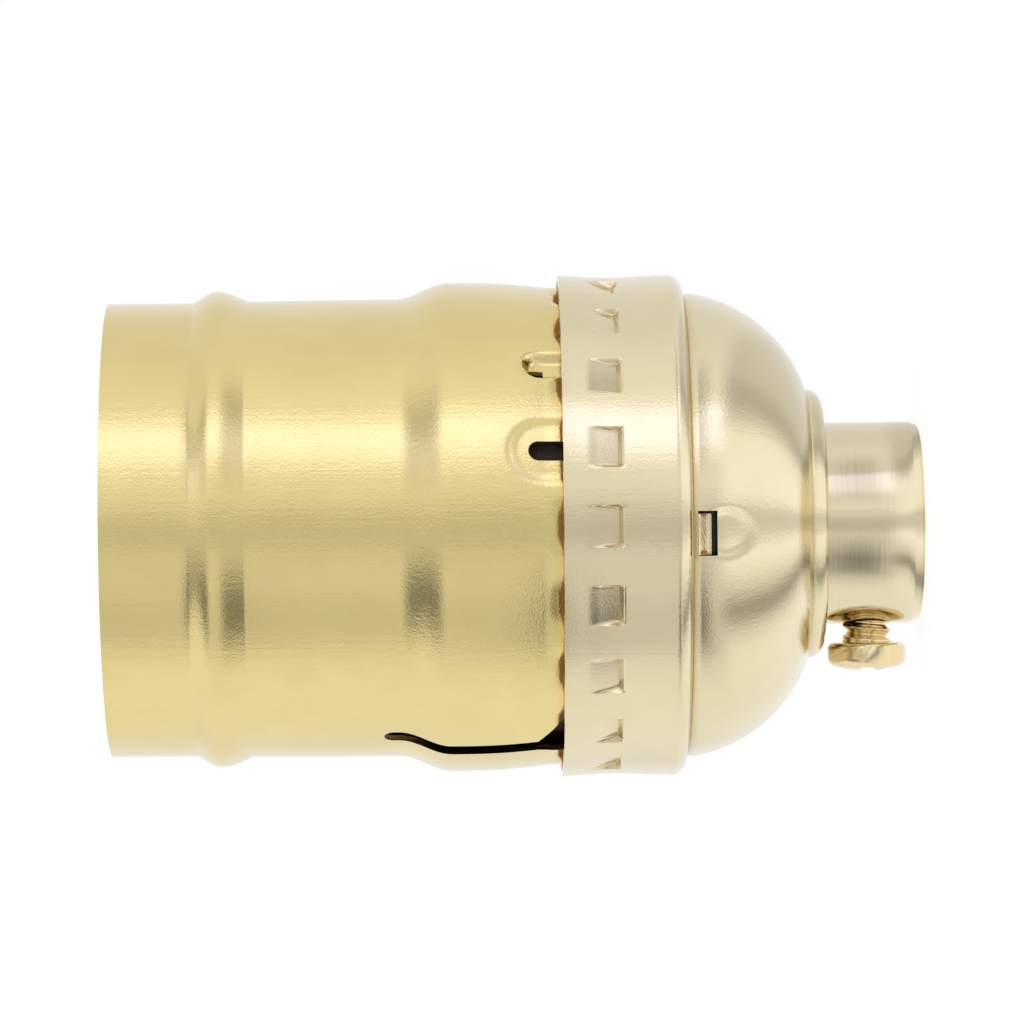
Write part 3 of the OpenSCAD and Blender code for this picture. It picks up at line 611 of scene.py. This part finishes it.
def make_grain():
    """Fine streaks along Z, as brushing or drawing leaves them, with a few deeper ones."""
    tree, start, end = new_group("sheet_grain", [
        ("Scale", "NodeSocketFloat", 3000.0), ("Stretch", "NodeSocketFloat", 0.02)],
        [("Mask", "NodeSocketFloat"), ("Height", "NodeSocketFloat")])
    links = tree.links
    coords = new_node(tree, "TexCoord")
    apart = new_node(tree, "SeparateXYZ")
    shrink = new_node(tree, "Math", {"operation": "MULTIPLY"})
    together = new_node(tree, "CombineXYZ")
    fine = new_node(tree, "TexNoise", Detail=3.0, Roughness=0.6)
    wide = new_node(tree, "TexNoise", Scale=420.0, Detail=2.0)
    speck = new_node(tree, "TexNoise", Scale=6500.0, Detail=2.0)
    mask = new_node(tree, "Math", {"operation": "MULTIPLY_ADD"})
    height = new_node(tree, "Math", {"operation": "MULTIPLY_ADD"})
    mask.inputs[1].default_value = 0.5
    height.inputs[1].default_value = 0.6
    half = new_node(tree, "Math", {"operation": "MULTIPLY"})
    half.inputs[1].default_value = 0.5
    links.new(coords.outputs["Object"], apart.inputs[0])
    links.new(apart.outputs["X"], together.inputs["X"])
    links.new(apart.outputs["Y"], together.inputs["Y"])
    links.new(apart.outputs["Z"], shrink.inputs[0])
    links.new(start.outputs["Stretch"], shrink.inputs[1])
    links.new(shrink.outputs[0], together.inputs["Z"])
    links.new(together.outputs[0], fine.inputs["Vector"])
    links.new(start.outputs["Scale"], fine.inputs["Scale"])
    links.new(together.outputs[0], wide.inputs["Vector"])
    links.new(coords.outputs["Object"], speck.inputs["Vector"])
    links.new(wide.outputs["Fac"], half.inputs[0])
    links.new(fine.outputs["Fac"], mask.inputs[0])
    links.new(half.outputs[0], mask.inputs[2])
    links.new(speck.outputs["Fac"], height.inputs[0])
    links.new(mask.outputs[0], height.inputs[2])
    links.new(mask.outputs[0], end.inputs["Mask"])
    links.new(height.outputs[0], end.inputs["Height"])
    return tree


def make_rings():
    """Fine rings round Z, as a lathe tool leaves them."""
    tree, start, end = new_group("lathe_rings", [("Scale", "NodeSocketFloat", 6000.0)],
                                 [("Mask", "NodeSocketFloat")])
    links = tree.links
    coords = new_node(tree, "TexCoord")
    mapping = new_node(tree, "Mapping", Scale=(0.03, 0.03, 1))
    fine = new_node(tree, "TexNoise", Detail=2.0)
    links.new(coords.outputs["Object"], mapping.inputs["Vector"])
    links.new(mapping.outputs[0], fine.inputs["Vector"])
    links.new(start.outputs["Scale"], fine.inputs["Scale"])
    links.new(fine.outputs["Fac"], end.inputs["Mask"])
    return tree


def make_tarnish():
    """Soft uneven patches: where lacquer and handling have dulled the metal a little."""
    tree, start, end = new_group("soft_patches", [("Scale", "NodeSocketFloat", 180.0)],
                                 [("Mask", "NodeSocketFloat")])
    links = tree.links
    coords = new_node(tree, "TexCoord")
    cloud = new_node(tree, "TexNoise", Detail=4.0, Roughness=0.55)
    spread = new_node(tree, "MapRange", {"interpolation_type": "SMOOTHSTEP"})
    spread.inputs["From Min"].default_value = 0.35
    spread.inputs["From Max"].default_value = 0.7
    links.new(coords.outputs["Object"], cloud.inputs["Vector"])
    links.new(start.outputs["Scale"], cloud.inputs["Scale"])
    links.new(cloud.outputs["Fac"], spread.inputs["Value"])
    links.new(spread.outputs["Result"], end.inputs["Mask"])
    return tree


def make_painted_hollow_shade():
    """Painted shade and reflection in tucked-away places, found by ambient occlusion: where metal
    mostly mirrors itself, its colour is painted deeper.
    """
    tree, start, end = new_group("hollow_shade", [("Reach", "NodeSocketFloat", 1.3 * MM)],
                                 [("Mask", "NodeSocketFloat")])
    links = tree.links
    shade = new_node(tree, "AmbientOcclusion", {"samples": 6})
    spread = new_node(tree, "MapRange", {"interpolation_type": "SMOOTHSTEP"})
    spread.inputs["From Min"].default_value = 0.9
    spread.inputs["From Max"].default_value = 0.35
    links.new(start.outputs["Reach"], shade.inputs["Distance"])
    links.new(shade.outputs["AO"], spread.inputs["Value"])
    links.new(spread.outputs["Result"], end.inputs["Mask"])
    return tree


def place(tree, group, **values):
    """Puts a node group in a material and sets its inputs by name."""
    node = tree.nodes.new("ShaderNodeGroup")
    node.node_tree = group
    for key, value in values.items():
        node.inputs[key].default_value = value
    return node


def new_material(name):
    material = bpy.data.materials.new(name)
    material.use_nodes = True
    return material, material.node_tree, material.node_tree.nodes["Principled BSDF"]


def blend(tree, factor, first, second):
    """Mixes two colours, each a colour or an output, by a factor output."""
    mix = new_node(tree, "Mix", {"data_type": "RGBA"})
    for socket, value in zip((mix.inputs[6], mix.inputs[7]), (first, second)):
        if isinstance(value, tuple):
            socket.default_value = (*value, 1)
        else:
            tree.links.new(value, socket)
    tree.links.new(factor, mix.inputs[0])
    return mix.outputs[2]


def vary(tree, mask, low, high):
    """Turns a mask into a value between low and high."""
    spread = new_node(tree, "MapRange")
    spread.inputs["To Min"].default_value = low
    spread.inputs["To Max"].default_value = high
    tree.links.new(mask, spread.inputs["Value"])
    return spread.outputs["Result"]


def dent_normal(tree, shader, height, strength, distance):
    """Feeds a height through a Bump node into the material's normal."""
    bump = new_node(tree, "Bump", Strength=strength, Distance=distance)
    tree.links.new(height, bump.inputs["Height"])
    tree.links.new(bump.outputs["Normal"], shader.inputs["Normal"])


def sheet_metal(name, colour, dull, deep, rough, scale, stretch=0.02, coat_weight=0.4, bump=0.2):
    """Drawn and brushed sheet: streaks, soft patches, and painted shade and reflection in its
    recesses, in the deep colour.
    """
    material, tree, shader = new_material(name)
    grain = place(tree, GRAIN, Scale=scale, Stretch=stretch)
    patches = place(tree, PATCHES)
    hollow_shade = place(tree, PAINTED_HOLLOW_SHADE)
    base = blend(tree, grain.outputs["Mask"], dull, colour)
    worn = blend(tree, patches.outputs["Mask"], base, colour)
    # Painted shade and reflection: where ambient occlusion finds a recess, the colour turns to deep
    # and the metal turns partly diffuse.
    tree.links.new(blend(tree, hollow_shade.outputs["Mask"], worn, deep), shader.inputs["Base Color"])
    tree.links.new(vary(tree, hollow_shade.outputs["Mask"], 1, 0.35), shader.inputs["Metallic"])
    tree.links.new(vary(tree, grain.outputs["Mask"], rough - 0.04, rough + 0.05),
                   shader.inputs["Roughness"])
    dent_normal(tree, shader, grain.outputs["Height"], bump, 0.05 * MM)
    shader.inputs["Coat Weight"].default_value = coat_weight
    shader.inputs["Coat Roughness"].default_value = 0.08
    return material


def turned_metal(name, colour, dull, deep, rough, scale=5000.0, coat_weight=0.3):
    """Metal turned on a lathe: fine rings, and painted shade and reflection in its recesses, in the
    deep colour.
    """
    material, tree, shader = new_material(name)
    rings = place(tree, RINGS, Scale=scale)
    hollow_shade = place(tree, PAINTED_HOLLOW_SHADE, Reach=0.3 * MM)
    base = blend(tree, rings.outputs["Mask"], dull, colour)
    # Painted shade and reflection: recesses that ambient occlusion finds take the deep colour.
    tree.links.new(blend(tree, hollow_shade.outputs["Mask"], base, deep), shader.inputs["Base Color"])
    tree.links.new(vary(tree, rings.outputs["Mask"], rough - 0.03, rough + 0.03),
                   shader.inputs["Roughness"])
    dent_normal(tree, shader, rings.outputs["Mask"], 0.06, 0.02 * MM)
    shader.inputs["Metallic"].default_value = 1
    shader.inputs["Coat Weight"].default_value = coat_weight
    shader.inputs["Coat Roughness"].default_value = 0.04
    return material


def moulded(name, colour, pale, rough, scale, bump):
    """Moulded or pressed insulation: mottled, with a slightly uneven skin."""
    material, tree, shader = new_material(name)
    patches = place(tree, PATCHES, Scale=scale)
    tree.links.new(blend(tree, patches.outputs["Mask"], colour, pale), shader.inputs["Base Color"])
    tree.links.new(vary(tree, patches.outputs["Mask"], rough - 0.08, rough + 0.08),
                   shader.inputs["Roughness"])
    dent_normal(tree, shader, patches.outputs["Mask"], bump, 0.05 * MM)
    return material


def coat(obj, material):
    """Makes material the only one of obj."""
    obj.data.materials.clear()
    obj.data.materials.append(material)


# Camera, lights and floor

# Picture's width, and in it, from the left, the hub's end and the place that the camera faces
PICTURE_W = 1024
HUB_END_AT = 918
SQUARE_ON_AT = 454
PX_PER_MM = 14
# Camera's distance in the same pixels, and the width of its sensor in millimetres
CAMERA_PX = 5800
SENSOR = 36
DISTANCE = CAMERA_PX / PX_PER_MM * MM
LENS = CAMERA_PX / PICTURE_W * SENSOR
IMAGE_CENTRE_Z = (HUB_END_AT - PICTURE_W / 2) / PX_PER_MM * MM
CAMERA_Z = (HUB_END_AT - SQUARE_ON_AT) / PX_PER_MM * MM
# How far the axis lies below the picture's middle
AXIS_DROP = 14.5 / PX_PER_MM * MM
ROLL = math.radians(0.6)

# Highest level that the studio's ramps can hold, and the strength that all levels are shown at
TOP_LEVEL = 2.6
STRENGTH = 2.4
# Brightness of the studio by direction, in degrees round Z from the camera's side towards +X
STUDIO = ((-180, 1.02), (-135, 1.1), (-118, 1.2), (-85, 1.22), (-64, 1.1), (-56, 0.9), (-38, 0.88),
          (-32, 0.98), (-15, 1), (-10, 0.97), (-6, 0.78), (2, 0.8), (9, 1.02), (16.4, 1.08),
          (17.4, 1.55), (18.4, 1.1), (27, 1.2), (33, 1.5), (37, 1.75), (48, 1.85), (52, 1.9),
          (56, 1.32), (66, 1.22), (80, 1.15), (100, 1.05), (125, 1.02), (180, 1.02))
# The same for the table close to the socket, which its dome mirrors
TABLE = ((-180, 1.1), (-101, 1.2), (-71, 1.3), (-59, 1.28), (-47, 1), (-41, 0.54), (-35, 0.52),
         (-29, 0.95), (-20, 1.3), (-11, 1.45), (-5, 1.15), (-2, 0.98), (6, 0.96), (9, 1.25),
         (13, 1.4), (24, 1.4), (41, 1.34), (46, 1.05), (56, 0.7), (64, 0.7), (74, 0.86),
         (93, 0.88), (180, 1))
# Gaps between the lamps, which dim the studio by up to GAP_DIM: by direction in degrees, by how far
# the direction leans along Z, and on the floor by the distance from the axis in metres
GAP_DIM = 0.75
GAPS = ((-180, 0), (-75, 0), (-60, 0.3), (-50, 0.9), (-38, 1), (-28, 0.7), (-16, 0.2), (-6, 0),
        (22, 0), (31, 0.45), (48, 0.55), (58, 0.62), (66, 0.55), (75, 0.25), (86, 0), (180, 0))
GAP_LEAN = ((0, 0), (0.28, 0), (0.62, 1), (0.8, 0.9), (1, 0.3))
GAP_REACH = ((0, 0), (0.044, 0), (0.056, 0.9), (0.085, 0.9), (0.13, 0.2), (0.2, 0))


def add_camera():
    camera = bpy.data.objects.new("camera", bpy.data.cameras.new("camera"))
    bpy.context.scene.collection.objects.link(camera)
    camera.data.lens = LENS
    camera.data.sensor_width = SENSOR
    camera.data.clip_start = 0.01
    place_at = Vector((AXIS_DROP, -DISTANCE, CAMERA_Z))
    target = Vector((AXIS_DROP, 0, IMAGE_CENTRE_Z))
    forward = (target - place_at).normalized()
    up = Vector((math.cos(ROLL), 0, -math.sin(ROLL)))
    right = forward.cross(up).normalized()
    turn = Matrix((right, right.cross(forward), -forward)).transposed().to_4x4()
    camera.matrix_world = Matrix.Translation(place_at) @ turn
    bpy.context.scene.camera = camera


def softbox(name, angle, distance, width, length, radiance):
    """A long soft lamp, which metal doesn't mirror; angle runs from the camera's side to +X."""
    lamp = bpy.data.objects.new(name, bpy.data.lights.new(name, "AREA"))
    bpy.context.scene.collection.objects.link(lamp)
    lamp.data.shape = "RECTANGLE"
    lamp.data.size = width
    lamp.data.size_y = length
    lamp.data.energy = radiance * math.pi * width * length
    a = math.radians(angle)
    back = Vector((math.sin(a), -math.cos(a), 0))
    side = Vector((0, 0, 1)).cross(back)
    turn = Matrix((side, Vector((0, 0, 1)), back)).transposed().to_4x4()
    lamp.visible_glossy = False
    lamp.matrix_world = Matrix.Translation(back * distance + Vector((0, 0, IMAGE_CENTRE_Z))) @ turn


def scale_of(tree, value, stops, low, high, top=1):
    """A ramp over a value from low to high, with stops of (place, level up to top).

    Levels above 1.3 turn a little cooler, as a lamp does beside its own bounced light.
    """
    spread = new_node(tree, "MapRange")
    spread.inputs["From Min"].default_value = low
    spread.inputs["From Max"].default_value = high
    ramp = new_node(tree, "ValToRGB")
    elements = ramp.color_ramp.elements
    while len(elements) < len(stops):
        elements.new(0.5)
    for element, (place_at, level) in zip(elements, stops):
        element.position = (place_at - low) / (high - low)
        cool = 1 + 0.45 * max(0, level - 1.3)
        element.color = (level / top, level / top, level / top * cool, 1)
    tree.links.new(value, spread.inputs["Value"])
    tree.links.new(spread.outputs["Result"], ramp.inputs["Fac"])
    return ramp.outputs["Color"]


def dim_gaps(tree, level, gap, share, strength=1):
    """Brings a level to a strength, less in the gaps, of which share is the part that counts."""
    dark = new_node(tree, "Math", {"operation": "MULTIPLY"})
    left = new_node(tree, "Math", {"operation": "MULTIPLY_ADD"})
    left.inputs[1].default_value = -GAP_DIM * strength
    left.inputs[2].default_value = strength
    dimmed = new_node(tree, "VectorMath", {"operation": "SCALE"})
    tree.links.new(gap, dark.inputs[0])
    tree.links.new(share, dark.inputs[1])
    tree.links.new(dark.outputs[0], left.inputs[0])
    tree.links.new(level, dimmed.inputs[0])
    tree.links.new(left.outputs[0], dimmed.inputs["Scale"])
    return dimmed.outputs[0]


def make_studio():
    """Brightness of the studio and of the table, and the lamp gaps, by the angle round Z."""
    tree, start, end = new_group("studio_light", [("Vector", "NodeSocketVector", None)], [
        ("Studio", "NodeSocketColor"), ("Table", "NodeSocketColor"), ("Gap", "NodeSocketColor")])
    links = tree.links
    apart = new_node(tree, "SeparateXYZ")
    away = new_node(tree, "Math", {"operation": "MULTIPLY"})
    away.inputs[1].default_value = -1
    round_z = new_node(tree, "Math", {"operation": "ARCTAN2"})
    degrees = new_node(tree, "Math", {"operation": "DEGREES"})
    links.new(start.outputs["Vector"], apart.inputs[0])
    links.new(apart.outputs["Y"], away.inputs[0])
    links.new(apart.outputs["X"], round_z.inputs[0])
    links.new(away.outputs[0], round_z.inputs[1])
    links.new(round_z.outputs[0], degrees.inputs[0])
    for label, stops, top in (("Studio", STUDIO, TOP_LEVEL), ("Table", TABLE, TOP_LEVEL),
                              ("Gap", GAPS, 1)):
        links.new(scale_of(tree, degrees.outputs[0], stops, -180, 180, top), end.inputs[label])
    return tree


def add_world():
    """White to the camera; polished metal sees a studio that is a little uneven."""
    world = bpy.data.worlds.new("studio")
    bpy.context.scene.world = world
    world.use_nodes = True
    tree = world.node_tree
    links = tree.links
    coords = new_node(tree, "TexCoord")
    apart = new_node(tree, "SeparateXYZ")
    light = place(tree, LIGHT)
    lean = new_node(tree, "Math", {"operation": "ABSOLUTE"})
    path = new_node(tree, "LightPath")
    shiny = new_node(tree, "Math", {"operation": "ADD", "use_clamp": True})
    links.new(coords.outputs["Generated"], apart.inputs[0])
    links.new(coords.outputs["Generated"], light.inputs["Vector"])
    links.new(apart.outputs["Z"], lean.inputs[0])
    share = scale_of(tree, lean.outputs[0], GAP_LEAN, 0, 1)
    studio = dim_gaps(tree, light.outputs["Studio"], light.outputs["Gap"], share, STRENGTH)
    links.new(path.outputs["Is Glossy Ray"], shiny.inputs[0])
    links.new(path.outputs["Is Transmission Ray"], shiny.inputs[1])
    soft = blend(tree, shiny.outputs[0], (0.85, 0.85, 0.85), studio)
    seen = blend(tree, path.outputs["Is Camera Ray"], soft, (1.0, 1.0, 1.0))
    links.new(seen, tree.nodes["Background"].inputs["Color"])


def add_floor():
    """Pale to the camera, with a shadow; polished metal sees it lit as unevenly as the studio."""
    deselect()
    bpy.ops.mesh.primitive_plane_add(size=6, location=(0, 0, 0))
    floor = bpy.context.object
    floor.name = floor.data.name = "floor"
    material, tree, shader = new_material("floor_white")
    shader.inputs["Base Color"].default_value = (0.94, 0.94, 0.94, 1)
    shader.inputs["Roughness"].default_value = 0.9
    links = tree.links
    coords = new_node(tree, "TexCoord")
    light = place(tree, LIGHT)
    reach = new_node(tree, "VectorMath", {"operation": "LENGTH"})
    close = new_node(tree, "MapRange")
    close.inputs["From Min"].default_value = 40 * MM
    close.inputs["From Max"].default_value = 31 * MM
    links.new(coords.outputs["Object"], light.inputs["Vector"])
    links.new(coords.outputs["Object"], reach.inputs[0])
    links.new(reach.outputs["Value"], close.inputs["Value"])
    level = blend(tree, close.outputs["Result"], light.outputs["Studio"], light.outputs["Table"])
    share = scale_of(tree, reach.outputs["Value"], GAP_REACH, 0, 0.2)
    lit = dim_gaps(tree, level, light.outputs["Gap"], share)
    path = new_node(tree, "LightPath")
    glow = new_node(tree, "Emission", Strength=STRENGTH)
    white = (1.045 / STRENGTH,) * 3
    tint = blend(tree, path.outputs["Is Glossy Ray"], white, lit)
    links.new(tint, glow.inputs["Color"])
    seen = new_node(tree, "Math", {"operation": "MULTIPLY_ADD"})
    seen.inputs[1].default_value = 0.88
    mix = new_node(tree, "MixShader")
    links.new(path.outputs["Is Camera Ray"], seen.inputs[0])
    links.new(path.outputs["Is Glossy Ray"], seen.inputs[2])
    links.new(seen.outputs[0], mix.inputs["Fac"])
    links.new(shader.outputs["BSDF"], mix.inputs[1])
    links.new(glow.outputs["Emission"], mix.inputs[2])
    links.new(mix.outputs["Shader"], tree.nodes["Material Output"].inputs["Surface"])
    coat(floor, material)


bpy.context.scene.view_settings.view_transform = "Standard"
LIGHT = make_studio()
add_camera()
add_world()
softbox("key", 44, 0.6, 0.25, 0.8, 0.6)
add_floor()

GRAIN, RINGS, PATCHES, PAINTED_HOLLOW_SHADE = make_grain(), make_rings(), make_tarnish(), make_painted_hollow_shade()
# The third colour of each metal is painted shade and reflection for its recesses.
shell_brass = sheet_metal("drawn_shell", (0.73, 0.605, 0.268), (0.67, 0.545, 0.23),
                          (0.95, 0.58, 0.16), 0.14, 3600.0, bump=0.6)
cap_brass = sheet_metal("pale_cap", (0.72, 0.635, 0.415), (0.67, 0.585, 0.37),
                        (0.64, 0.46, 0.19), 0.14, 2600.0, bump=0.4)
hub_brass = turned_metal("turned_brass", (0.7, 0.62, 0.42), (0.67, 0.585, 0.385),
                         (0.64, 0.46, 0.2), 0.1)
screw_brass = turned_metal("warm_screw", (0.78, 0.66, 0.42), (0.72, 0.56, 0.3),
                           (0.62, 0.38, 0.14), 0.14)
well_brass = sheet_metal("rolled_brass", (0.74, 0.62, 0.34), (0.66, 0.53, 0.27),
                         (0.62, 0.42, 0.14), 0.25, 2400.0, stretch=1.0)
contact_brass = sheet_metal("contact_metal", (0.76, 0.6, 0.3), (0.68, 0.5, 0.22),
                            (0.6, 0.4, 0.14), 0.25, 2200.0, stretch=1.0)
nickel = sheet_metal("nickel_plate", (0.7, 0.69, 0.66), (0.62, 0.6, 0.57), (0.45, 0.43, 0.4), 0.25,
                     2200.0, stretch=1.0)
phenolic = moulded("black_moulding", (0.016, 0.016, 0.018), (0.03, 0.029, 0.03), 0.35, 900.0, 0.1)
fibre = moulded("dark_fibre", (0.034, 0.02, 0.014), (0.09, 0.058, 0.045), 0.7, 1400.0, 0.25)

FINISHES = {
    "insulating_sleeve": fibre, "interior_base": phenolic, "bottom_insulator": fibre,
    "centre_contact": contact_brass, "centre_rivet": contact_brass,
    "hot_terminal": contact_brass, "hot_screw": contact_brass, "neutral_terminal": nickel,
    "neutral_screw": nickel, "front_rivet": contact_brass, "rear_rivet": contact_brass,
}
for node, material in FINISHES.items():
    coat(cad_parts[node], material)

for build, material, body, node, slot in (
        (build_shell, shell_brass, "shell", "shell", "shell_brass"),
        (build_cap, cap_brass, "socket", "cap", "cap_brass"),
        (build_hub, hub_brass, "socket", "cap_hub", "hub_brass"),
        (build_set_screw, screw_brass, "set_screw", "set_screw", "set_screw_brass"),
        (build_screw_shell, well_brass, "socket", "screw_shell", "screw_shell_brass")):
    piece = build()
    coat(piece, material)
    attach(piece, body)
    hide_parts(node)
